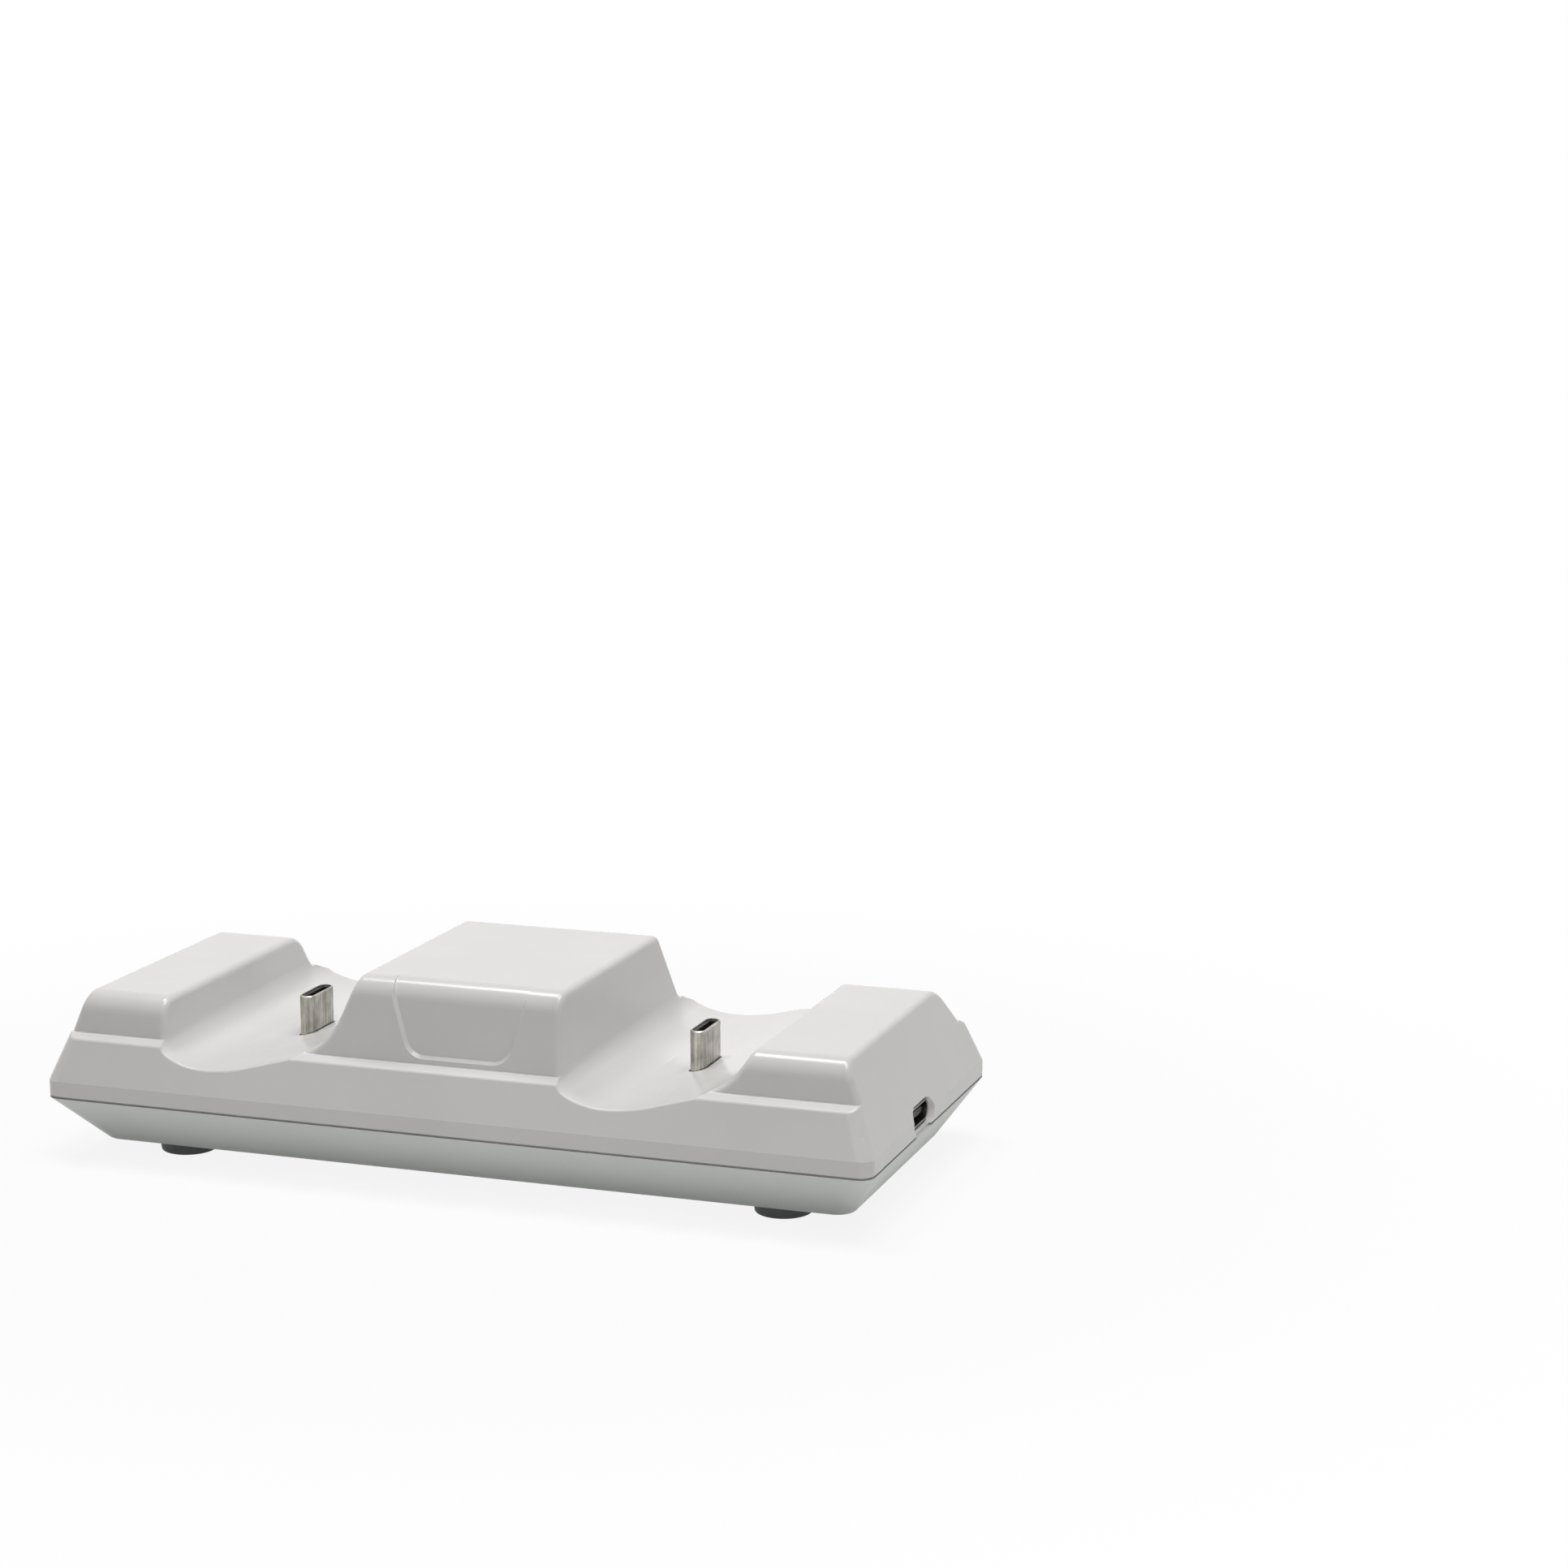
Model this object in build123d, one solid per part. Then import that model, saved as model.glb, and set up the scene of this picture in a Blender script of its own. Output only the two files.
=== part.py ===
"""Desk charging dock for two game controllers.

A moulded two-part housing, open in two bays that each hold an upright charging plug. Inside are the
circuit board, its parts and the screws. Millimetres, +Z up, front towards -Y. The origin lies on the
table under the middle of the housing.
"""
import math
import os

from build123d import *

# Overall housing
body_length = 133.0
body_width = 60.0
corner_radius = 2.2
wall = 2.0
base_end_inset = 5.5
base_side_inset = 7.5
base_corner_radius = 3.0
base_edge_round = 0.8
tray_wall = 2.4
ledge_end_inset = 2.75
ledge_side_inset = 2.2

# Heights above the table
foot_height = 2.0
parting_height = 10.0
band_top_height = 12.7
ledge_height = 19.8
end_block_height = 26.0
centre_block_height = 32.0

# Faces of the raised blocks, and the ledge that falls from their feet to the skirts
front_ledge = 1.8
front_draft = 5.0
front_top_round = 3.2
back_ledge = 3.5
back_slope = 37.5
centre_back_round = 2.0
end_back_round = 6.0
crest_round = 1.0
crest_share = 0.3
ledge_flat = 0.5
ledge_fall = 23.0
lip_round = 0.45
least_round = 0.4
cut_margin = 12.0

# Bays: the left one is the right one moved by the pitch
right_bay_wall = 17.4
bay_pitch = 65.0
bay_floor_height = 16.5
wall_blend_radius = 3.3
floor_left_radius = 14.5
floor_left_turn = 24.0
floor_right_radius = 29.0
floor_slope = 15.0
floor_slope_length = 6.3
heel_radius = 12.0
heel_angle = 66.0

# Charging plugs and power socket
charge_line = -3.5
plug_from_bay_wall = 14.5
plug_width = 8.34
plug_thickness = 2.56
plug_reach = 6.1
plug_skin = 0.3
plug_edge = 0.15
plug_slot_clearance = 0.25
plug_mouth_width = 6.9
plug_mouth_gap = 1.0
plug_mouth_depth = 5.2
socket_height = 12.5
socket_width = 8.94
socket_thickness = 3.26
socket_length = 7.4
socket_skin = 0.3
socket_setback = 0.9
socket_clearance = 0.3
socket_flare = 0.7
tongue_width = 6.65
tongue_thickness = 0.7
tongue_length = 4.9
contact_count = 12
contact_pitch = 0.5
contact_width = 0.26
contact_thickness = 0.12
contact_length = 4.0

# Light window: a shallow pocket in the front of the centre block, with a light guide behind it
window_centre = 1.0
window_rise = 0.75
window_bottom_half_width = 8.0
window_side_lean = 17.0
window_corner_radius = 3.4
window_depth = 0.5
window_bevel = 45.0
window_margin = 1.0
guide_thickness = 1.4
guide_gap = 0.1
guide_overlap = 1.0

# Joint between the two halves
seam_depth = 0.5
seam_height = 0.35
rim_height = 1.5
rim_thickness = 1.0
rim_clearance = 0.15
rim_root = 1.0
rim_notch_margin = 5.0

# Feet and case screws
foot_end_inset = 12.0
foot_side_inset = 5.7
foot_radius = 4.6
foot_recess = 0.6
foot_taper = 0.4
foot_edge = 0.5
foot_clearance = 0.15
tray_boss_radius = 4.4
shell_boss_radius = 3.2
case_head_radius = 2.75
case_head_height = 2.0
case_head_clearance = 0.25
case_shank_radius = 1.4
case_seat_height = 5.6
case_screw_length = 10.0
thread_clearance = 0.05
shank_clearance = 0.2
drive_width = 0.7
drive_depth = 0.9
head_chamfer_share = 0.4
tip_chamfer_share = 0.4

# Circuit board and its parts
board_thickness = 1.6
board_width = 15.5
board_left_margin = 8.9
board_end_gap = 0.4
board_notch_gap = 0.3
led_tab_width = 22.0
led_tab_setback = 1.4
post_radius = 2.4
post_inset = 3.0
post_spacing = 5.9
board_hole_radius = 1.05
board_shank_radius = 0.9
board_screw_length = 4.0
board_pilot_depth = 4.5
board_head_radius = 1.8
board_head_height = 1.2
holder_length = 13.0
holder_depth = 6.0
holder_gap = 1.4
holder_chamfer = 0.9
plug_tail = 1.4
chip_size = (6.0, 5.0, 1.5)
chip_body_width = 4.0
chip_lift = 0.15
chip_edge = 0.2
chip_leg_count = 4
chip_leg_pitch = 1.3
chip_leg_width = 0.48
chip_leg_height = 0.75
chip_spacing = 12.5
inductor_size = (5.2, 5.2, 2.6)
inductor_chamfer = 0.9
inductor_spacing = 20.0
capacitor_size = (3.2, 1.6, 1.4)
capacitor_pitch = 2.6
capacitor_gap = 4.1
capacitor_count = 3
resistor_size = (2.0, 1.25, 0.6)
resistor_pitch = 3.2
resistor_x = 6.0
resistor_count = 3
led_size = (3.0, 1.6, 1.0)
led_spacing = 10.0
led_gap = 0.2
led_edge = 0.25

# Places worked out from the driving dimensions
ledge_length = body_length - 2 * ledge_end_inset
ledge_width = body_width - 2 * ledge_side_inset
base_length = body_length - 2 * base_end_inset
base_width = body_width - 2 * base_side_inset
end_slope = ledge_end_inset / (ledge_height - band_top_height)
end_slope_factor = math.hypot(1, end_slope)
side_slope = ledge_side_inset / (ledge_height - band_top_height)
side_slope_factor = math.hypot(1, side_slope)
front_face_offset = ledge_width / 2 - front_ledge
back_face_offset = ledge_width / 2 - back_ledge
window_bottom_height = ledge_height + window_rise
led_tab_front = led_tab_setback - front_face_offset
left_bay_wall = right_bay_wall - bay_pitch
bay_walls = {"left": left_bay_wall, "right": right_bay_wall}
cut_height = centre_block_height + cut_margin
reach = body_width
socket_mouth = body_length / 2 - socket_setback
socket_back = socket_mouth - socket_length
board_top = socket_height - socket_thickness / 2
board_bottom = board_top - board_thickness
tray_floor_top = foot_height + wall
tray_end_slope = base_end_inset / (parting_height - foot_height)
board_left_end = left_bay_wall + plug_from_bay_wall - board_left_margin
tray_inner_end = body_length / 2 - tray_wall - tray_end_slope * (parting_height - board_bottom)
board_right_end = tray_inner_end - board_end_gap
capacitor_x = socket_back - capacitor_gap - capacitor_size[0] / 2
foot_spread_x = base_length / 2 - foot_end_inset
foot_spread_y = base_width / 2 - foot_side_inset
foot_places = {
    "front_left": (-foot_spread_x, -foot_spread_y),
    "front_right": (foot_spread_x, -foot_spread_y),
    "back_left": (-foot_spread_x, foot_spread_y),
    "back_right": (foot_spread_x, foot_spread_y),
}


def beside_plug(bay_wall, spacing):
    """Place along the board at a distance from a plug, on the side towards the middle."""
    plug_x = bay_wall + plug_from_bay_wall
    return plug_x - math.copysign(spacing, plug_x)


post_places = [
    (beside_plug(bay_wall, post_spacing), charge_line + side * (board_width / 2 - post_inset))
    for bay_wall in bay_walls.values()
    for side in (-1, 1)
]


def half_length(height):
    """Half the length between the sloping end faces at a height above the band."""
    return body_length / 2 - end_slope * (height - band_top_height)


def half_width(height):
    """Half the width between the sloping skirts at a height above the band."""
    return body_width / 2 - side_slope * (height - band_top_height)


def slab(length, width, radius, height):
    """Rounded rectangle lying flat at a height."""
    return Pos(0, 0, height) * RectangleRounded(length, width, radius)


def rod(radius, low, high, place=(0, 0)):
    """Upright round rod between two heights."""
    x, y = place
    return extrude(Pos(x, y, low) * Circle(radius), high - low)


def bay_cutter(bay_wall, growth=0.0):
    """Open space of one bay, grown on all sides into the housing by a wall thickness."""
    left_turn = math.radians(floor_left_turn)
    low_x = bay_wall + floor_left_radius * math.sin(left_turn)
    low_x += wall_blend_radius * (1 - math.sin(left_turn))
    low_point = (low_x, bay_floor_height - growth)
    dip = JernArc(low_point, (-1, 0), floor_left_radius + growth, -floor_left_turn)
    blend = JernArc(dip @ 1, dip % 1, wall_blend_radius + growth, floor_left_turn - 90)
    upright = Line(blend @ 1, ((blend @ 1).X, cut_height))
    rise = JernArc(low_point, (1, 0), floor_right_radius + growth, floor_slope)
    ramp = Line(rise @ 1, rise @ 1 + (rise % 1) * floor_slope_length)
    heel = JernArc(ramp @ 1, rise % 1, heel_radius + growth, heel_angle - floor_slope)
    lean_run = (cut_height - (heel @ 1).Y) / math.tan(math.radians(heel_angle))
    lean = Line(heel @ 1, ((heel @ 1).X + lean_run, cut_height))
    lid = Line(lean @ 1, upright @ 1)
    section = make_face(Curve() + [dip, blend, upright, rise, ramp, heel, lean, lid])
    return extrude(Plane.XZ * section, reach, both=True)


def bay_floor_at(offset):
    """Height of a bay's floor at a distance from its upright wall, on the rising arc."""
    left_turn = math.radians(floor_left_turn)
    low = floor_left_radius * math.sin(left_turn) + wall_blend_radius * (1 - math.sin(left_turn))
    run = offset - low
    return bay_floor_height + floor_right_radius - math.sqrt(floor_right_radius ** 2 - run ** 2)


def end_envelope(inset):
    """Space between the two sloping end faces."""
    shrink = inset * end_slope_factor
    low = half_length(0) - shrink
    high = half_length(cut_height) - shrink
    section = Polyline((-low, 0), (low, 0), (high, cut_height), (-high, cut_height), close=True)
    return extrude(Plane.XZ * make_face(section), reach, both=True)


def shoulder(inset):
    """Space under the ledge, which is flat under the blocks and falls to the skirts in front and behind."""
    fall = math.radians(ledge_fall)
    top = ledge_height - inset
    turn = inset * math.tan(fall / 2)
    front = front_face_offset + ledge_flat - turn
    back = back_face_offset + ledge_flat - turn
    section = Polyline(
        (-reach, 0),
        (-reach, top - (reach - front) * math.tan(fall)),
        (-front, top),
        (back, top),
        (reach, top - (reach - back) * math.tan(fall)),
        (reach, 0),
        close=True,
    )
    return extrude(Plane.YZ * make_face(section), body_length, both=True)


def raised_block(x_low, x_high, top, back_round, inset, front_inset=0.0):
    """Straight block with a steep front, a sloping back and rounded top edges."""
    root = ledge_height - inset
    roof = top - inset
    draft = math.tan(math.radians(front_draft))
    slope = math.tan(math.radians(back_slope))
    front = -front_face_offset + (inset + front_inset) / math.cos(math.radians(front_draft))
    back = back_face_offset - inset / math.cos(math.radians(back_slope))
    outline = make_face(Polyline(
        (front + draft * (root - ledge_height), root),
        (back - slope * (root - ledge_height), root),
        (back - slope * (roof - ledge_height), roof),
        (front + draft * (roof - ledge_height), roof),
        close=True,
    ))
    top_corners = outline.vertices().group_by(Axis.Y)[-1].sort_by(Axis.X)
    outline = fillet(top_corners[0], max(front_top_round - inset, least_round))
    top_corners = outline.vertices().group_by(Axis.Y)[-1].sort_by(Axis.X)
    outline = fillet(top_corners[-1], max(back_round - inset, least_round))
    return extrude(Pos(x_low, 0, 0) * (Plane.YZ * outline), x_high - x_low)


def crest_edges(block, top):
    """Edges where a block's front, top and back meet its end face and the bays."""
    chosen = []
    for edge in block.edges():
        box = edge.bounding_box()
        along_x = box.size.X > 0.999 * edge.length
        at_root = box.max.Z < ledge_height + 0.01
        inside_wall = box.size.Y > 0.999 * edge.length and abs(box.max.Z - top) > 0.01
        if not (along_x or at_root or inside_wall):
            chosen.append(edge)
    return chosen


def lip_edges(lower):
    """Edges where the bays and the ledge meet the front and back skirts."""
    chosen = []
    for edge in lower.edges():
        box = edge.bounding_box()
        between = box.min.Z > band_top_height + 0.01 and box.max.Z < ledge_height - 0.01
        on_skirt = min(abs(box.min.Y), abs(box.max.Y)) > ledge_width / 2 - corner_radius
        if between and on_skirt and box.size.X > 0.2 * edge.length and box.size.Y < 0.5 * edge.length:
            chosen.append(edge)
    return chosen


def housing_form(inset=0.0, rounded=False):
    """Upper housing as a solid, with every face moved inwards by the inset."""
    opening = wall if inset else 0.0
    roof = ledge_height - inset
    radius = max(corner_radius - inset, least_round)
    band = slab(body_length - 2 * inset, body_width - 2 * inset, radius, band_top_height)
    skirt_top = slab(
        2 * (half_length(roof) - inset * end_slope_factor),
        2 * (half_width(roof) - inset * side_slope_factor),
        radius,
        roof,
    )
    skirt = loft([band, skirt_top], ruled=True) & shoulder(inset)
    whole = extrude(band, parting_height - opening - band_top_height) + skirt
    bays = [bay_cutter(x, inset) for x in bay_walls.values()]
    for bay in bays:
        whole -= bay
    if rounded:
        whole = fillet(lip_edges(whole), lip_round)
    left_split = left_bay_wall + bay_pitch / 4
    right_split = right_bay_wall + bay_pitch / 4
    spans = [
        (-body_length / 2, left_split, end_block_height, end_back_round),
        (left_split, right_split, centre_block_height, centre_back_round),
        (right_split, body_length / 2, end_block_height, end_back_round),
    ]
    for x_low, x_high, top, back_round in spans:
        block = raised_block(x_low, x_high, top, back_round, inset) & end_envelope(inset)
        for bay in bays:
            block -= bay
        if rounded:
            top_width = block.faces().sort_by(Axis.Z)[-1].bounding_box().size.X
            block = fillet(crest_edges(block, top), min(crest_round, crest_share * top_width))
        whole += block
    return whole


def behind_front(depth):
    """Plane at a depth behind the centre block's front face, with its second axis up the face."""
    draft = math.radians(front_draft)
    face = Plane(
        (window_centre, -front_face_offset, ledge_height),
        x_dir=(-1, 0, 0),
        z_dir=(0, math.cos(draft), -math.sin(draft)),
    )
    return face.offset(depth)


def up_front(height, depth=0.0):
    """Distance from the ledge up to a height, along the plane at a depth behind the front face."""
    draft = math.radians(front_draft)
    return (height - ledge_height + depth * math.sin(draft)) / math.cos(draft)


def window_outline(inside):
    """Wide U of the light window, open at the top, moved inwards all round."""
    lean = math.radians(window_side_lean)
    bottom = up_front(window_bottom_height) + inside
    top = up_front(cut_height)
    half = window_bottom_half_width - inside / math.cos(lean) + inside * math.tan(lean)
    top_half = half + (top - bottom) * math.tan(lean)
    outline = make_face(Polyline(
        (-half, bottom), (half, bottom), (top_half, top), (-top_half, top), close=True))
    return fillet(outline.vertices().group_by(Axis.Y)[0], window_corner_radius - inside)


def window_pocket():
    """Pocket of the light window: bevelled sides, and a floor that runs out over the rounded top edge."""
    rim = behind_front(0) * window_outline(0)
    bevel_run = window_depth * math.tan(math.radians(window_bevel))
    floor_rim = behind_front(window_depth) * window_outline(bevel_run)
    pocket = extrude(rim, -window_margin) + loft([rim, floor_rim], ruled=True)
    pocket += extrude(floor_rim, front_top_round + window_margin)
    behind = raised_block(
        left_bay_wall, body_length / 2, centre_block_height, centre_back_round, 0.0, window_depth)
    return pocket - behind


def socket_section(growth, x):
    """Outline of the power socket, grown all round, standing across the right end."""
    plane = Plane((x, charge_line, socket_height), x_dir=(0, 1, 0), z_dir=(1, 0, 0))
    return plane * SlotOverall(socket_width + 2 * growth, socket_thickness + 2 * growth)


def socket_opening():
    """Passage for the power socket through the end wall, and its flared mouth."""
    passage = extrude(socket_section(socket_clearance, socket_mouth), socket_length, both=True)
    mouth = loft([
        socket_section(socket_clearance, socket_mouth),
        socket_section(socket_clearance + socket_flare, body_length / 2 + socket_setback / 2),
    ], ruled=True)
    return [passage, mouth]


def plug_section(bay_wall, growth, height):
    """Outline of a charging plug, grown all round, lying flat at a height."""
    place = Pos(bay_wall + plug_from_bay_wall, charge_line, height) * Rot(0, 0, 90)
    return place * SlotOverall(plug_width + 2 * growth, plug_thickness + 2 * growth)


def make_top_shell():
    """Thin-walled upper housing with screw bosses, plug slots, socket mouth and light window."""
    cavity = housing_form(wall)
    for place in foot_places.values():
        cavity -= rod(shell_boss_radius, parting_height, end_block_height, place)
    shell = housing_form(rounded=True) - cavity
    for place in foot_places.values():
        pilot_top = case_seat_height + case_screw_length + wall / 2
        shell -= rod(case_shank_radius + thread_clearance, parting_height, pilot_top, place)
    for bay_wall in bay_walls.values():
        slot = plug_section(bay_wall, plug_slot_clearance, parting_height)
        shell -= extrude(slot, centre_block_height - parting_height)
    for opening in socket_opening():
        shell -= opening
    shell -= window_pocket()
    seam = slab(body_length + wall, body_width + wall, corner_radius, parting_height)
    seam_inset = 2 * seam_depth
    seam_radius = corner_radius - seam_depth
    seam -= slab(body_length - seam_inset, body_width - seam_inset, seam_radius, parting_height)
    return shell - extrude(seam, seam_height)


def make_light_guide():
    """Clear plate behind the light window that carries the light up from the board."""
    face = wall + guide_gap
    low = up_front(board_top + led_size[2] + led_gap, face + guide_thickness)
    high = up_front(centre_block_height - wall - front_top_round, face)
    foot_half = (led_spacing + led_size[0]) / 2 + guide_overlap
    spread = (high - up_front(window_bottom_height)) * math.tan(math.radians(window_side_lean))
    top_half = window_bottom_half_width + spread + guide_overlap
    outline = make_face(Polyline(
        (-foot_half, low), (foot_half, low), (top_half, high), (-top_half, high), close=True))
    return extrude(behind_front(face) * outline, guide_thickness)


def make_bottom_tray():
    """Tapered lower tray with a locating rim, screw bosses, board posts and recesses for the feet."""
    base = slab(base_length, base_width, base_corner_radius, foot_height)
    top = slab(body_length, body_width, corner_radius, parting_height)
    tray = loft([base, top], ruled=True)
    tray = fillet(tray.edges().group_by(Axis.Z)[0], base_edge_round)
    floor_share = wall / (parting_height - foot_height)
    floor_length = base_length + floor_share * (body_length - base_length)
    floor_width = base_width + floor_share * (body_width - base_width)
    inner_radius = max(corner_radius - tray_wall, least_round)
    inset = 2 * tray_wall
    hollow_floor = slab(floor_length - inset, floor_width - inset, inner_radius, tray_floor_top)
    hollow_top = slab(body_length - inset, body_width - inset, inner_radius, parting_height)
    tray -= loft([hollow_floor, hollow_top], ruled=True)
    rim_gap = 2 * (wall + rim_clearance)
    rim_radius = max(corner_radius - wall, least_round)
    rim = slab(body_length - rim_gap, body_width - rim_gap, rim_radius, parting_height - rim_root)
    rim_hole = rim_gap + 2 * rim_thickness
    rim -= slab(body_length - rim_hole, body_width - rim_hole, rim_radius, parting_height - rim_root)
    rim = extrude(rim, rim_root + rim_height)
    notch = Box(2 * socket_length, socket_width + 2 * rim_notch_margin, 2 * rim_height)
    tray += rim - Pos(body_length / 2, charge_line, parting_height + rim_height) * notch
    for place in foot_places.values():
        tray += rod(tray_boss_radius, tray_floor_top - wall / 2, parting_height, place)
    for place in post_places:
        tray += rod(post_radius, tray_floor_top - wall / 2, board_bottom, place)
    for place in foot_places.values():
        tray -= rod(foot_radius + foot_clearance, 0, foot_height + foot_recess, place)
        tray -= rod(case_head_radius + case_head_clearance, 0, case_seat_height, place)
        tray -= rod(case_shank_radius + shank_clearance, 0, parting_height, place)
    for place in post_places:
        depth = board_bottom - board_pilot_depth
        tray -= rod(board_shank_radius + thread_clearance, depth, board_bottom, place)
    for opening in socket_opening():
        tray -= opening
    return tray


def make_foot(place):
    """Round rubber foot stuck in its recess, tapering to a softened lower edge."""
    x, y = place
    seat = rod(foot_radius, foot_height, foot_height + foot_recess, place)
    pad = Pos(x, y, foot_height / 2) * Cone(foot_radius - foot_taper, foot_radius, foot_height)
    return chamfer((pad + seat).edges().group_by(Axis.Z)[0], foot_edge)


def make_screw(place, seat, head_radius, head_height, shank_radius, shank_length, up):
    """Pan head screw with a cross recess; up is 1 where the shank points up, -1 where it points down."""
    head = Cylinder(head_radius, head_height, align=(Align.CENTER, Align.CENTER, Align.MAX))
    head = chamfer(head.edges().group_by(Axis.Z)[0], head_height * head_chamfer_share)
    shank = Cylinder(shank_radius, shank_length, align=(Align.CENTER, Align.CENTER, Align.MIN))
    shank = chamfer(shank.edges().group_by(Axis.Z)[-1], shank_radius * tip_chamfer_share)
    bar = Box(2 * shank_radius, drive_width, 2 * drive_depth)
    cross = Pos(0, 0, -head_height) * (bar + Rot(0, 0, 90) * bar)
    screw = head + shank - cross
    turned = screw if up > 0 else Rot(180, 0, 0) * screw
    return Pos(place[0], place[1], seat) * turned


def make_main_board():
    """Circuit board with a tab at the front for the lights and holes for its screws."""
    length = board_right_end - board_left_end
    centre_x = (board_right_end + board_left_end) / 2
    outline = Pos(centre_x, charge_line) * Rectangle(length, board_width)
    tab = Rectangle(led_tab_width, charge_line - led_tab_front)
    outline += Pos(window_centre, (charge_line + led_tab_front) / 2) * tab
    for place in post_places:
        outline -= Pos(*place) * Circle(board_hole_radius)
    for place in foot_places.values():
        outline -= Pos(*place) * Circle(tray_boss_radius + board_notch_gap)
    return extrude(Pos(0, 0, board_bottom) * outline, board_thickness)


def plug_top(bay_wall):
    """Height of the open end of a plug."""
    return bay_floor_at(plug_from_bay_wall) + plug_reach


def make_plug_shell(bay_wall):
    """Drawn metal sleeve of a charging plug, open at both ends."""
    low = board_top + plug_tail
    high = plug_top(bay_wall)
    sleeve = extrude(plug_section(bay_wall, 0, low), high - low)
    sleeve = chamfer(sleeve.edges().group_by(Axis.Z)[-1], plug_edge)
    sleeve -= extrude(plug_section(bay_wall, -plug_skin, low), high - low)
    return sleeve


def make_plug_insulator(bay_wall):
    """Dark liner of a plug with the narrow mouth that takes the socket's blade."""
    low = board_top + plug_tail
    high = plug_top(bay_wall) - plug_skin
    liner = extrude(plug_section(bay_wall, -plug_skin, low), high - low)
    x = bay_wall + plug_from_bay_wall
    mouth = Box(plug_mouth_gap, plug_mouth_width, plug_mouth_depth)
    return liner - Pos(x, charge_line, high - plug_mouth_depth / 2) * mouth


def contact_row(length, width, thickness):
    """One row of contacts side by side along Y, standing along Z."""
    span = (contact_count - 1) * contact_pitch
    return [
        Pos(0, i * contact_pitch - span / 2, 0) * Box(thickness, width, length)
        for i in range(contact_count)
    ]


def make_plug_contacts(bay_wall):
    """Two facing rows of spring contacts in a plug's mouth."""
    high = plug_top(bay_wall) - plug_skin
    x = bay_wall + plug_from_bay_wall
    z = high - plug_mouth_depth + contact_length / 2
    solids = []
    for side in (-1, 1):
        place = Pos(x + side * (plug_mouth_gap - contact_thickness) / 2, charge_line, z)
        solids += [place * blade for blade in contact_row(contact_length, contact_width, contact_thickness)]
    return Compound(children=solids)


def make_plug_holder(bay_wall):
    """Moulded block on the board that grips the foot of a plug."""
    height = bay_floor_at(plug_from_bay_wall) - wall - holder_gap - board_top
    block = on_board((holder_depth, holder_length, height), bay_wall + plug_from_bay_wall, charge_line)
    block = chamfer(block.edges().filter_by(Axis.Z), holder_chamfer)
    return block - extrude(plug_section(bay_wall, 0, board_top + plug_tail), height)


def make_socket_shell():
    """Drawn metal case of the power socket, closed at the back by the blade's block."""
    case = extrude(socket_section(0, socket_mouth), -socket_length)
    return case - extrude(socket_section(-socket_skin, socket_mouth), -socket_length)


def make_socket_tongue():
    """Black block at the back of the socket with the flat blade that carries the contacts."""
    block_length = socket_length - tongue_length - 2 * socket_skin
    block = extrude(socket_section(-socket_skin, socket_back), block_length)
    blade = Pos(socket_back + block_length, charge_line, socket_height) * Box(
        tongue_length, tongue_width, tongue_thickness, align=(Align.MIN, Align.CENTER, Align.CENTER))
    return block + blade


def make_socket_contacts():
    """Contact strips on both faces of the socket's blade."""
    contact_x = socket_mouth - 2 * socket_skin - contact_length / 2
    solids = []
    for side in (-1, 1):
        z = socket_height + side * (tongue_thickness + contact_thickness) / 2
        place = Pos(contact_x, charge_line, z) * Rot(0, 90, 0)
        solids += [place * blade for blade in contact_row(contact_length, contact_width, contact_thickness)]
    return Compound(children=solids)


def on_board(size, x, y):
    """Small block part that sits on the board."""
    return Pos(x, y, board_top) * Box(*size, align=(Align.CENTER, Align.CENTER, Align.MIN))


def make_chip(bay_wall):
    """Charging chip: a moulded body over two rows of short legs."""
    x = beside_plug(bay_wall, chip_spacing)
    length, width, height = chip_size
    body = Pos(x, charge_line, board_top + chip_lift) * Box(
        length, chip_body_width, height - chip_lift, align=(Align.CENTER, Align.CENTER, Align.MIN))
    body = chamfer(body.edges().group_by(Axis.Z)[-1], chip_edge)
    for i in range(chip_leg_count):
        step = (i - (chip_leg_count - 1) / 2) * chip_leg_pitch
        body += on_board((chip_leg_width, width, chip_leg_height), x + step, charge_line)
    return body


def make_inductor(bay_wall):
    """Square shielded inductor with cut corners."""
    block = on_board(inductor_size, beside_plug(bay_wall, inductor_spacing), charge_line)
    return chamfer(block.edges().filter_by(Axis.Z), inductor_chamfer)


def make_led(side):
    """Surface light under the lower edge of the light guide, with a domed top."""
    y = led_tab_front + led_size[1]
    block = on_board(led_size, window_centre + side * led_spacing / 2, y)
    return fillet(block.edges().group_by(Axis.Z)[-1], led_edge)


parts = {
    "top_shell": make_top_shell(),
    "bottom_tray": make_bottom_tray(),
    "light_guide": make_light_guide(),
    "main_board": make_main_board(),
    "socket_shell": make_socket_shell(),
    "socket_tongue": make_socket_tongue(),
    "socket_contacts": make_socket_contacts(),
    "left_led": make_led(-1),
    "right_led": make_led(1),
}
for corner, place in foot_places.items():
    parts["foot_" + corner] = make_foot(place)
for side, bay_wall in bay_walls.items():
    parts[side + "_plug_shell"] = make_plug_shell(bay_wall)
    parts[side + "_plug_insulator"] = make_plug_insulator(bay_wall)
    parts[side + "_plug_contacts"] = make_plug_contacts(bay_wall)
    parts[side + "_plug_holder"] = make_plug_holder(bay_wall)
    parts[side + "_charge_chip"] = make_chip(bay_wall)
    parts[side + "_inductor"] = make_inductor(bay_wall)
parts["case_screws"] = Compound(children=[
    make_screw(place, case_seat_height, case_head_radius, case_head_height,
               case_shank_radius, case_screw_length, 1)
    for place in foot_places.values()
])
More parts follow.
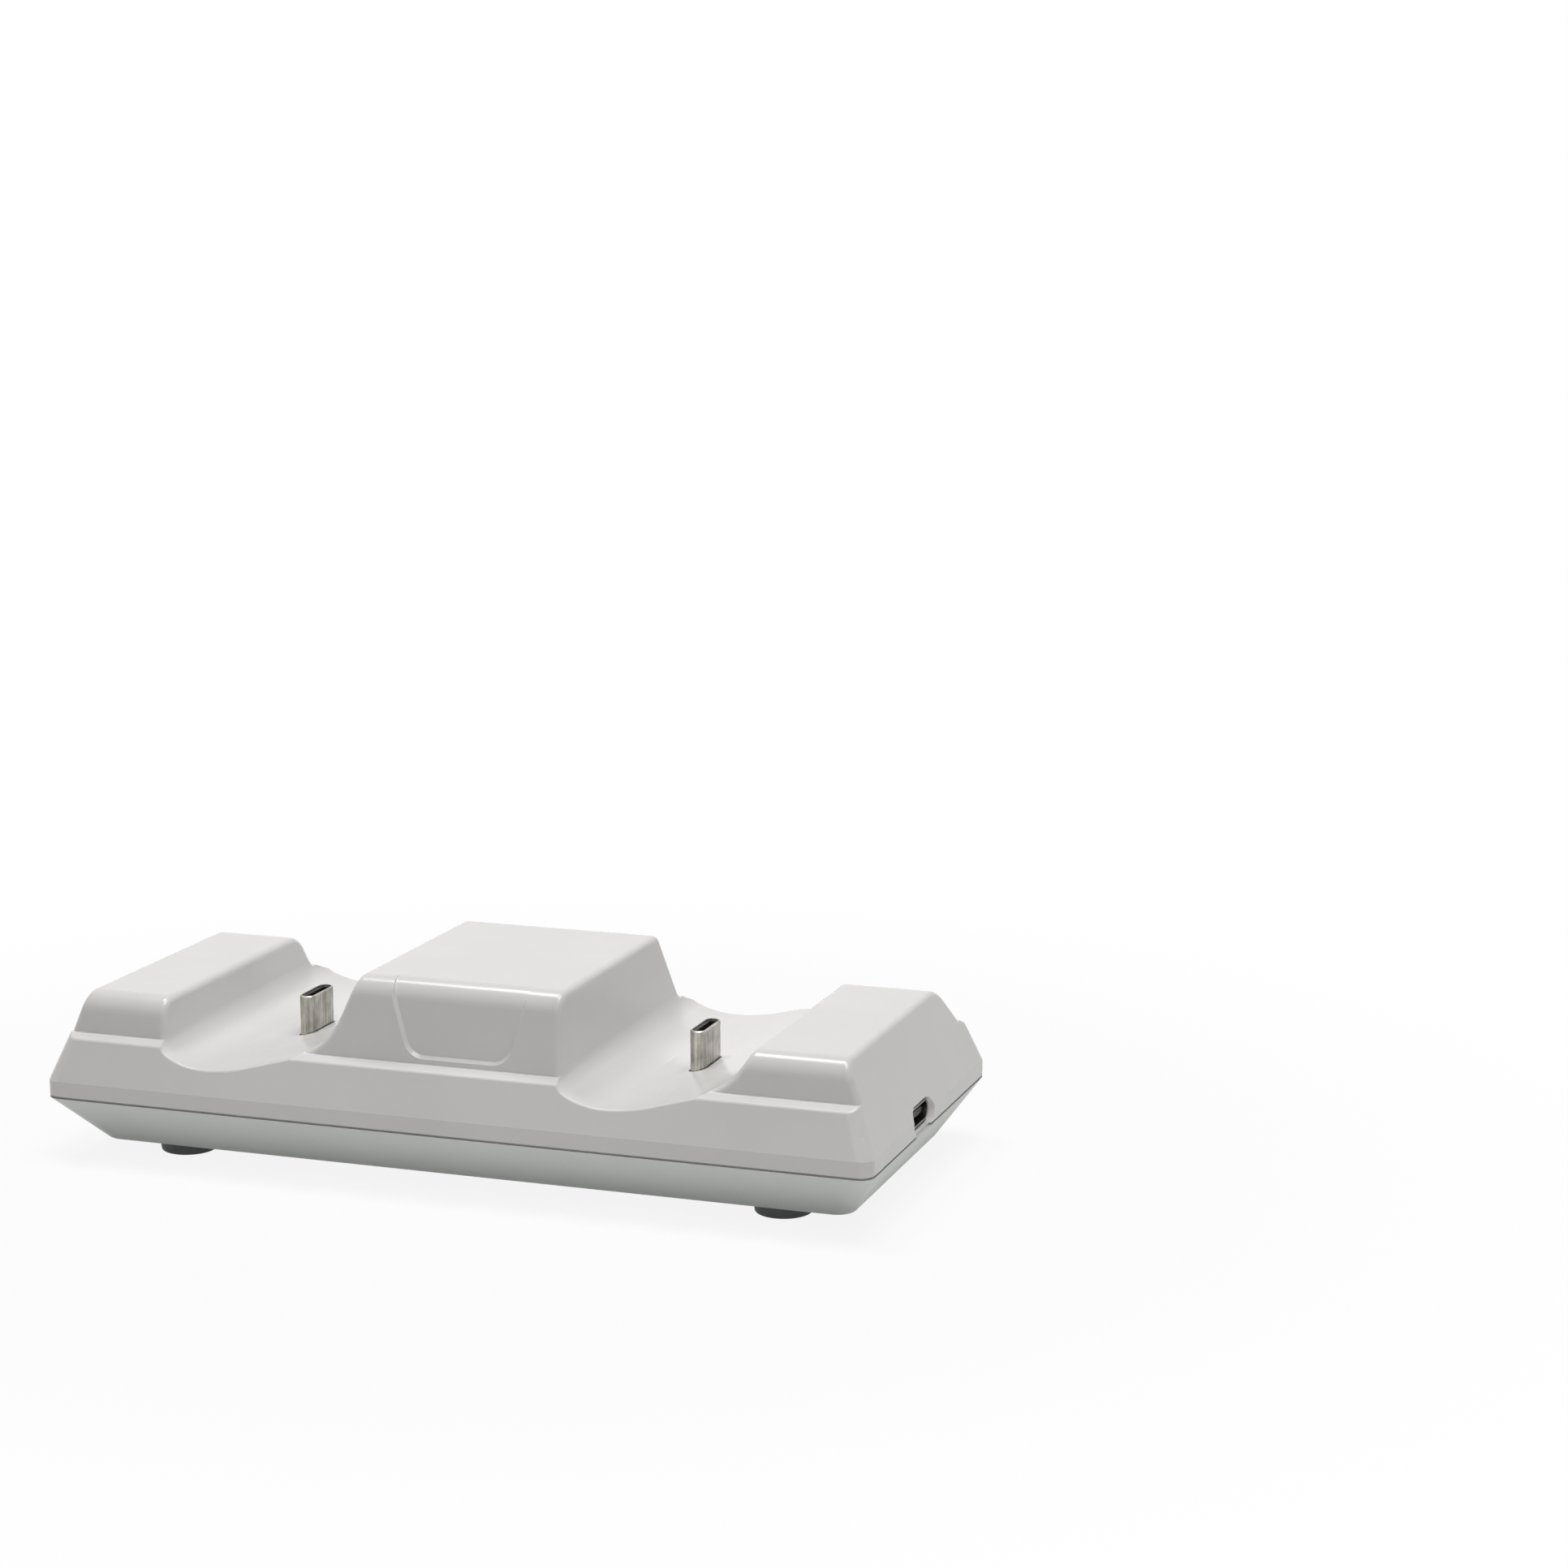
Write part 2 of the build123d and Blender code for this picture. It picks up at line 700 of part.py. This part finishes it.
parts["board_screws"] = Compound(children=[
    make_screw(place, board_top, board_head_radius, board_head_height,
               board_shank_radius, board_thickness + board_screw_length, -1)
    for place in post_places
])
parts["input_capacitors"] = Compound(children=[
    on_board(capacitor_size, capacitor_x, charge_line + (i - (capacitor_count - 1) / 2) * capacitor_pitch)
    for i in range(capacitor_count)
])
parts["sense_resistors"] = Compound(children=[
    on_board(resistor_size, resistor_x + i * resistor_pitch, charge_line + board_width / 4)
    for i in range(resistor_count)
])

os.makedirs("parts", exist_ok=True)
for name, solid in parts.items():
    export_step(solid, "parts/" + name + ".step")
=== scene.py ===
"""Looks of a desk charging dock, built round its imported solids."""
import math
import bpy
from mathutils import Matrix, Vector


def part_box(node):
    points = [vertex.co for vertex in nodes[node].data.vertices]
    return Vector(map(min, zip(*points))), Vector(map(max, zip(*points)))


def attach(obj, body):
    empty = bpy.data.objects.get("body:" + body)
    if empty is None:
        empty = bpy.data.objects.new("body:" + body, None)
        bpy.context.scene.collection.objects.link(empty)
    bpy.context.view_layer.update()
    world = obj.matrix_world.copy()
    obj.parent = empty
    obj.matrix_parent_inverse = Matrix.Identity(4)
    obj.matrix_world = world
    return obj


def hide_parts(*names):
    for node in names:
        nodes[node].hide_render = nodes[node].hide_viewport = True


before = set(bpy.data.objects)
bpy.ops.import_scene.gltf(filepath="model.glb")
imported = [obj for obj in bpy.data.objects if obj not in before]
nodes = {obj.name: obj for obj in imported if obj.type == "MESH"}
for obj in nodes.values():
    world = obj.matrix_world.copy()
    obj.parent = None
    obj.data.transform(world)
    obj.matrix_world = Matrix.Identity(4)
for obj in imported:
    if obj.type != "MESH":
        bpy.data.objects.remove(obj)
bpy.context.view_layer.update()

# Bottom tray: the white moulded half that tapers in to the table.
# Injection moulded plastic with a light satin grain, screwed to the upper half from below.


class Value:
    """One socket of a material, so that shader maths is written as plain arithmetic."""

    def __init__(self, tree, socket=None):
        self.tree = tree
        self.socket = socket

    def node(self, kind, settings, sockets, output=0):
        """Add any other node: its settings first, then the values or links of its sockets."""
        made = self.tree.nodes.new(kind)
        for name, setting in settings.items():
            setattr(made, name, setting)
        for name, source in sockets.items():
            if isinstance(source, Value):
                self.tree.links.new(source.socket, made.inputs[name])
            else:
                made.inputs[name].default_value = source
        return Value(self.tree, made.outputs[output])

    def maths(self, operation, *terms):
        return self.node("ShaderNodeMath", {"operation": operation}, dict(enumerate(terms)))

    def __add__(self, other):
        return self.maths("ADD", self, other)

    __radd__ = __add__

    def __sub__(self, other):
        return self.maths("SUBTRACT", self, other)

    def __rsub__(self, other):
        return self.maths("SUBTRACT", other, self)

    def __mul__(self, other):
        return self.maths("MULTIPLY", self, other)

    __rmul__ = __mul__

    def largest(self, other):
        return self.maths("MAXIMUM", self, other)

    def clamped(self, low, high):
        """Spread the stretch from low to high over 0 to 1, smoothly."""
        return self.node(
            "ShaderNodeMapRange", {"interpolation_type": "SMOOTHSTEP"},
            {"Value": self, "From Min": low, "From Max": high})

    def toned(self):
        """Spread the usual reach of a noise, 0.3 to 0.7, over 0 to 1."""
        return self.clamped(0.3, 0.7)

    def noise(self, scale, detail=2.0, roughness=0.5):
        """Cloudy values about 0.5 over these coordinates."""
        return self.node(
            "ShaderNodeTexNoise", {},
            {"Vector": self, "Scale": scale, "Detail": detail, "Roughness": roughness})

    def stretched(self, x, y, z):
        """These coordinates scaled along each axis, for a pattern with a grain."""
        return self.node("ShaderNodeMapping", {}, {"Vector": self, "Scale": (x, y, z)})

    def between(self, low, high):
        """Colour between two colours, by this value. The Mix node's colour sockets go by number."""
        mix = {0: self, 6: (*low, 1.0), 7: (*high, 1.0)}
        return self.node("ShaderNodeMix", {"data_type": "RGBA"}, mix, 2)

    def bump(self, height):
        """Surface normal raised by this value times a height in metres."""
        return self.node("ShaderNodeBump", {}, {"Height": self, "Distance": height, "Strength": 1.0})


class Finish:
    """A procedural material: one Principled shader that reads its piece's Object coordinates."""

    def __init__(self, name, **constants):
        self.material = bpy.data.materials.new(name)
        self.material.use_nodes = True
        self.tree = self.material.node_tree
        self.shader = self.tree.nodes["Principled BSDF"]
        for socket, value in constants.items():
            self.shader.inputs[socket.replace("_", " ")].default_value = value
        self.place = Value(self.tree).node("ShaderNodeTexCoord", {}, {}, "Object")

    def feed(self, **values):
        """Lead varying values to the shader's sockets."""
        for socket, value in values.items():
            self.tree.links.new(value.socket, self.shader.inputs[socket.replace("_", " ")])

    def dress(self, *names):
        """Give the finish to solids of the frame."""
        for name in names:
            slots = nodes[name].data.materials
            slots.clear()
            slots.append(self.material)


cloud_scale = 45.0
skin_scale = 420.0
gloss_change = 0.05


def moulded_plastic(name, dark, pale, gloss, skin_height):
    """White moulded plastic: faint clouding, uneven gloss and a slightly wavy skin from the mould."""
    finish = Finish(name, IOR=1.5)
    clouds = finish.place.noise(cloud_scale, 3.0).toned()
    skin = finish.place.noise(skin_scale, 2.0)
    finish.feed(
        Base_Color=clouds.between(dark, pale),
        Roughness=gloss + gloss_change * (skin - 0.5) + gloss_change * (clouds - 0.5),
        Normal=skin.bump(skin_height),
    )
    return finish


# Partly painted shade: the tray's colour is a darker grey than the housing's, standing in for the shade on
# a half that faces down; its green tint is the tray's own.
tray_plastic_painted_shade = moulded_plastic(
    "tray_plastic_painted_shade", dark=(0.610, 0.630, 0.603), pale=(0.645, 0.665, 0.638), gloss=0.42, skin_height=8e-6)
tray_plastic_painted_shade.dress("bottom_tray")

# Feet: four soft discs pressed into round recesses in the tray, over the case screws.
# Moulded grey rubber with a rounded tread and a shallow dish in the middle.

rubber = Finish("foot_rubber", IOR=1.45)
rubber_clouds = rubber.place.noise(260.0, 4.0, 0.6)
rubber_grain = rubber.place.noise(1800.0, 3.0)
rubber.feed(
    Base_Color=rubber_clouds.toned().between((0.150, 0.158, 0.156), (0.205, 0.212, 0.210)),
    Roughness=0.62 + 0.25 * (rubber_grain - 0.5),
    Normal=rubber_grain.bump(1.5e-5),
)


def select_faces(piece, chosen):
    """Select the faces of a piece in edit mode for which a test of the face is true."""
    bpy.ops.object.mode_set(mode="EDIT")
    bpy.ops.mesh.select_mode(type="FACE")
    bpy.ops.mesh.select_all(action="DESELECT")
    bpy.ops.object.mode_set(mode="OBJECT")
    for face in piece.data.polygons:
        face.select = chosen(face)
    bpy.ops.object.mode_set(mode="EDIT")


smooth_angle = math.radians(40.0)


def rounded_edges(piece, width, segments, angle):
    """Round the sharp edges of a piece with an applied bevel and shade it smooth."""
    bevel = piece.modifiers.new("rounding", "BEVEL")
    bevel.width = width
    bevel.segments = segments
    bevel.limit_method = "ANGLE"
    bevel.angle_limit = angle
    bpy.ops.object.modifier_apply(modifier=bevel.name)
    bpy.ops.object.shade_smooth_by_angle(angle=smooth_angle)


def to_origin():
    """Put the place of the active piece into its mesh."""
    bpy.ops.object.transform_apply(location=True, rotation=True, scale=True)


first_corner = "front_left"
foot_low, foot_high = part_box("foot_" + first_corner)
foot_middle = (foot_low + foot_high) / 2
foot_radius = (foot_high.x - foot_low.x) / 2
seat_depth = 0.0006
tread_share = 0.93
tread_width = 0.0013
dish_depth = 0.0004
foot_sides = 72
facing_down = -0.9
edge_round = 0.00055
edge_steps = 5
sharp_angle = math.radians(25.0)
bpy.ops.object.select_all(action="DESELECT")
bpy.ops.mesh.primitive_cylinder_add(
    vertices=foot_sides, radius=foot_radius, depth=seat_depth,
    location=(foot_middle.x, foot_middle.y, foot_high.z - seat_depth / 2))
first_foot = bpy.context.object
select_faces(first_foot, lambda face: face.normal.z < facing_down)
bpy.ops.mesh.extrude_region_move(
    TRANSFORM_OT_translate={"value": (0.0, 0.0, foot_low.z - foot_high.z + seat_depth)})
bpy.ops.transform.resize(
    value=(tread_share, tread_share, 1.0), center_override=(foot_middle.x, foot_middle.y, foot_low.z))
bpy.ops.mesh.inset(thickness=tread_width)
bpy.ops.mesh.inset(thickness=dish_depth)
bpy.ops.transform.translate(value=(0.0, 0.0, dish_depth))
bpy.ops.object.mode_set(mode="OBJECT")
to_origin()
rounded_edges(first_foot, edge_round, edge_steps, sharp_angle)
first_foot.data.materials.append(rubber.material)
for corner in ("back_right", "back_left", "front_right", first_corner):
    bpy.ops.object.select_all(action="DESELECT")
    first_foot.select_set(True)
    bpy.context.view_layer.objects.active = first_foot
    if corner != first_corner:
        bpy.ops.object.duplicate(linked=False)
        corner_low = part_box("foot_" + corner)[0]
        bpy.ops.transform.translate(value=corner_low - foot_low)
        to_origin()
    foot = bpy.context.object
    foot.name = "rubber_foot_" + corner
    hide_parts("foot_" + corner)
    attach(foot, "root")

# Circuit board: one board on four posts that carries the socket, both plugs and the charging parts.
# Glass fibre under green lacquer, with copper tracks that show as slightly raised lines.

board_finish = Finish("board_lacquer", IOR=1.5)
board_clouds = board_finish.place.noise(90.0, 3.0).toned()
tracks = board_finish.place.node("ShaderNodeTexWave", {"wave_profile": "SAW"}, {
    "Vector": board_finish.place, "Scale": 160.0, "Distortion": 3.0, "Detail": 1.0}, 1)
track_lines = tracks.clamped(0.55, 0.62)
board_finish.feed(
    Base_Color=(track_lines * 0.6 + board_clouds * 0.4).between(
        (0.012, 0.075, 0.030), (0.030, 0.150, 0.060)),
    Roughness=0.32 + 0.10 * board_clouds,
    Normal=track_lines.bump(3e-5),
)
board_finish.dress("main_board")

# Parts on the board: charging chips, coils, capacitors, resistors and the two lights.
# Moulded resin, pressed ferrite, fired ceramic and clear resin, soldered in place.


def plain_part(name, dark, pale, roughness, scale, grain_height):
    """Small board part: two tones of one colour and a fine grain."""
    finish = Finish(name)
    spots = finish.place.noise(scale, 3.0)
    finish.feed(
        Base_Color=spots.clamped(0.35, 0.65).between(dark, pale),
        Roughness=roughness + 0.15 * (spots - 0.5),
        Normal=spots.bump(grain_height),
    )
    return finish


chip_resin = plain_part(
    "chip_resin", dark=(0.010, 0.010, 0.011), pale=(0.026, 0.026, 0.028),
    roughness=0.5, scale=2600.0, grain_height=2e-5)
chip_resin.dress("left_charge_chip", "right_charge_chip", "sense_resistors")
ferrite = plain_part(
    "ferrite", dark=(0.030, 0.030, 0.032), pale=(0.062, 0.062, 0.066),
    roughness=0.6, scale=1900.0, grain_height=4e-5)
ferrite.dress("left_inductor", "right_inductor")
ceramic = plain_part(
    "ceramic", dark=(0.24, 0.15, 0.075), pale=(0.34, 0.22, 0.115),
    roughness=0.4, scale=1500.0, grain_height=1e-5)
ceramic.dress("input_capacitors")
light_resin = plain_part(
    "light_resin", dark=(0.72, 0.68, 0.50), pale=(0.80, 0.77, 0.62),
    roughness=0.2, scale=900.0, grain_height=5e-6)
light_resin.dress("left_led", "right_led")

# Screws: four through the tray into the housing, four that hold the board to its posts.
# Cold headed steel with bright zinc plating.

zinc = Finish("zinc_plate", Metallic=1.0)
zinc_bloom = zinc.place.noise(1400.0, 4.0, 0.6)
zinc.feed(
    Base_Color=zinc_bloom.between((0.50, 0.51, 0.54), (0.66, 0.66, 0.66)),
    Roughness=0.28 + 0.25 * zinc_bloom,
    Normal=zinc_bloom.bump(8e-6),
)
zinc.dress("case_screws", "board_screws")

# Plugs: one upright charging plug in each bay, held by a moulded block on the board.
# Drawn sheet sleeves with warm nickel plating, dark liners and two rows of gilt contacts.


def drawn_metal(name, dark, pale, along):
    """Plated sheet metal with fine lines along the way it was drawn."""
    finish = Finish(name, Metallic=1.0)
    lines = finish.place.stretched(*along).noise(1.0, 3.0, 0.6)
    cloud = finish.place.noise(500.0, 2.0)
    finish.feed(
        Base_Color=(lines * 0.6 + cloud * 0.4).toned().between(dark, pale),
        Roughness=0.22 + 0.16 * lines,
        Normal=lines.bump(4e-6),
    )
    return finish


plug_nickel = drawn_metal(
    "plug_nickel", dark=(0.24, 0.23, 0.20), pale=(0.60, 0.58, 0.53), along=(2200.0, 2200.0, 120.0))
plug_nickel.dress("left_plug_shell", "right_plug_shell")
liner_plastic = plain_part(
    "liner_plastic", dark=(0.012, 0.012, 0.012), pale=(0.022, 0.022, 0.022),
    roughness=0.45, scale=2400.0, grain_height=1e-5)
liner_plastic.dress(
    "left_plug_insulator", "right_plug_insulator", "left_plug_holder", "right_plug_holder", "socket_tongue")
gilt = drawn_metal(
    "gilt", dark=(0.34, 0.25, 0.11), pale=(0.46, 0.35, 0.16), along=(6000.0, 6000.0, 600.0))
gilt.dress("left_plug_contacts", "right_plug_contacts", "socket_contacts")

# Power socket: a drawn metal mouth at the right end, set just inside the housing.
# Nickel plated sheet round a black blade with contacts on both faces; the sheet is coloured dark grey as
# painted shade for the shadowed mouth.

# Painted shade: the nickel colour is set dark grey to stand in for the shade inside the socket mouth.
socket_nickel_painted_shade = drawn_metal(
    "socket_nickel_painted_shade", dark=(0.13, 0.13, 0.12), pale=(0.22, 0.22, 0.21), along=(250.0, 9000.0, 9000.0))
socket_nickel_painted_shade.dress("socket_shell")

# Light guide: a clear plate inside the front wall that spreads the light of the two lamps.
# Moulded clear plastic with a frosted face.

guide_finish = Finish("frosted_guide", IOR=1.49, Transmission_Weight=0.6)
frost = guide_finish.place.noise(2200.0, 3.0)
guide_finish.feed(
    Base_Color=frost.between((0.84, 0.85, 0.84), (0.92, 0.92, 0.90)),
    Roughness=0.35 + 0.2 * frost,
    Normal=frost.bump(1e-5),
)
guide_finish.dress("light_guide")

# Upper housing: the glossy white half with the centre block, the end blocks and the two open bays.
# Injection moulded plastic from a polished mould.

housing_plastic = moulded_plastic(
    "housing_plastic", dark=(0.770, 0.757, 0.748), pale=(0.800, 0.787, 0.778), gloss=0.22, skin_height=5e-6)
housing_plastic.dress("top_shell")

# Stage: a plain white floor that keeps a soft shadow, under three square studio lamps.
# The camera stands where the photograph was taken, so the two pictures can be laid over each other.


def background_rays(value):
    """1 on rays that see the background: from the camera, in a reflection or through clear plastic."""
    camera_ray, glossy_ray, clear_ray = [
        value.node("ShaderNodeLightPath", {}, {}, kind)
        for kind in ("Is Camera Ray", "Is Glossy Ray", "Is Transmission Ray")
    ]
    return camera_ray.largest(glossy_ray.largest(clear_ray))


white = (1.0, 1.0, 1.0, 1.0)
floor_tone = (0.86, 0.86, 0.86, 1.0)
stage_half = 4.0
white_near = 0.88
white_from = 0.06
white_to = 0.20
bpy.ops.object.select_all(action="DESELECT")
bpy.ops.mesh.primitive_plane_add(size=2 * stage_half)
floor = bpy.context.object
floor.name = "floor"
floor_finish = Finish("floor_white", Roughness=0.9, Specular_IOR_Level=0.1)
floor_finish.shader.inputs["Base Color"].default_value = floor_tone
flat = floor_finish.place
distance = flat.node("ShaderNodeVectorMath", {"operation": "LENGTH"}, {0: flat}, "Value")
glow = flat.node("ShaderNodeEmission", {}, {"Color": white, "Strength": 1.0})
white_share = white_near + (1.0 - white_near) * distance.clamped(white_from, white_to)
plain_floor = Value(floor_finish.tree, floor_finish.shader.outputs[0])
mixed = flat.node(
    "ShaderNodeMixShader", {}, {0: background_rays(flat) * white_share, 1: plain_floor, 2: glow})
floor_finish.tree.links.new(mixed.socket, floor_finish.tree.nodes["Material Output"].inputs["Surface"])
floor.data.materials.append(floor_finish.material)

world = bpy.data.worlds.new("studio")
bpy.context.scene.world = world
world.use_nodes = True
sky = Value(world.node_tree)
ambient_level = 0.06
world.node_tree.links.new(
    (ambient_level + (1.0 - ambient_level) * background_rays(sky)).socket,
    world.node_tree.nodes["Background"].inputs["Strength"])
world.node_tree.nodes["Background"].inputs["Color"].default_value = white


def soft_box(name, place, target, size, watts):
    """Square studio lamp at a place, turned to a target."""
    lamp = bpy.data.lights.new(name, "AREA")
    lamp.size = size
    lamp.energy = watts
    stand = bpy.data.objects.new(name, lamp)
    bpy.context.scene.collection.objects.link(stand)
    stand.location = place
    aim = (stand.location - Vector(target)).to_track_quat("Z", "Y")
    stand.rotation_euler = aim.to_euler()


lit_middle = (0.0, 0.0, 0.02)
soft_box("key_lamp", place=(0.16, -0.06, 0.89), target=lit_middle, size=0.5, watts=4.8)
soft_box("gloss_lamp", place=(-0.28, 0.10, 0.90), target=lit_middle, size=0.24, watts=2.3)
soft_box("front_lamp", place=(0.25, -0.75, 0.35), target=lit_middle, size=0.35, watts=0.25)

camera_place = (0.2074, -0.4777, 0.15705)
camera_azimuth = 0.331
camera_pitch = 0.189
camera_focal_pixels = 4259.5
photo_width = 1932
camera_data = bpy.data.cameras.new("photo_camera")
camera = bpy.data.objects.new("photo_camera", camera_data)
bpy.context.scene.collection.objects.link(camera)
bpy.context.scene.camera = camera
camera.location = camera_place
camera.rotation_euler = (math.pi / 2 - camera_pitch, 0.0, camera_azimuth)
camera_data.sensor_width = 36.0
camera_data.lens = camera_data.sensor_width * camera_focal_pixels / photo_width
camera_data.clip_start = 0.01
camera_data.clip_end = 20.0
bpy.context.scene.view_settings.view_transform = "Standard"
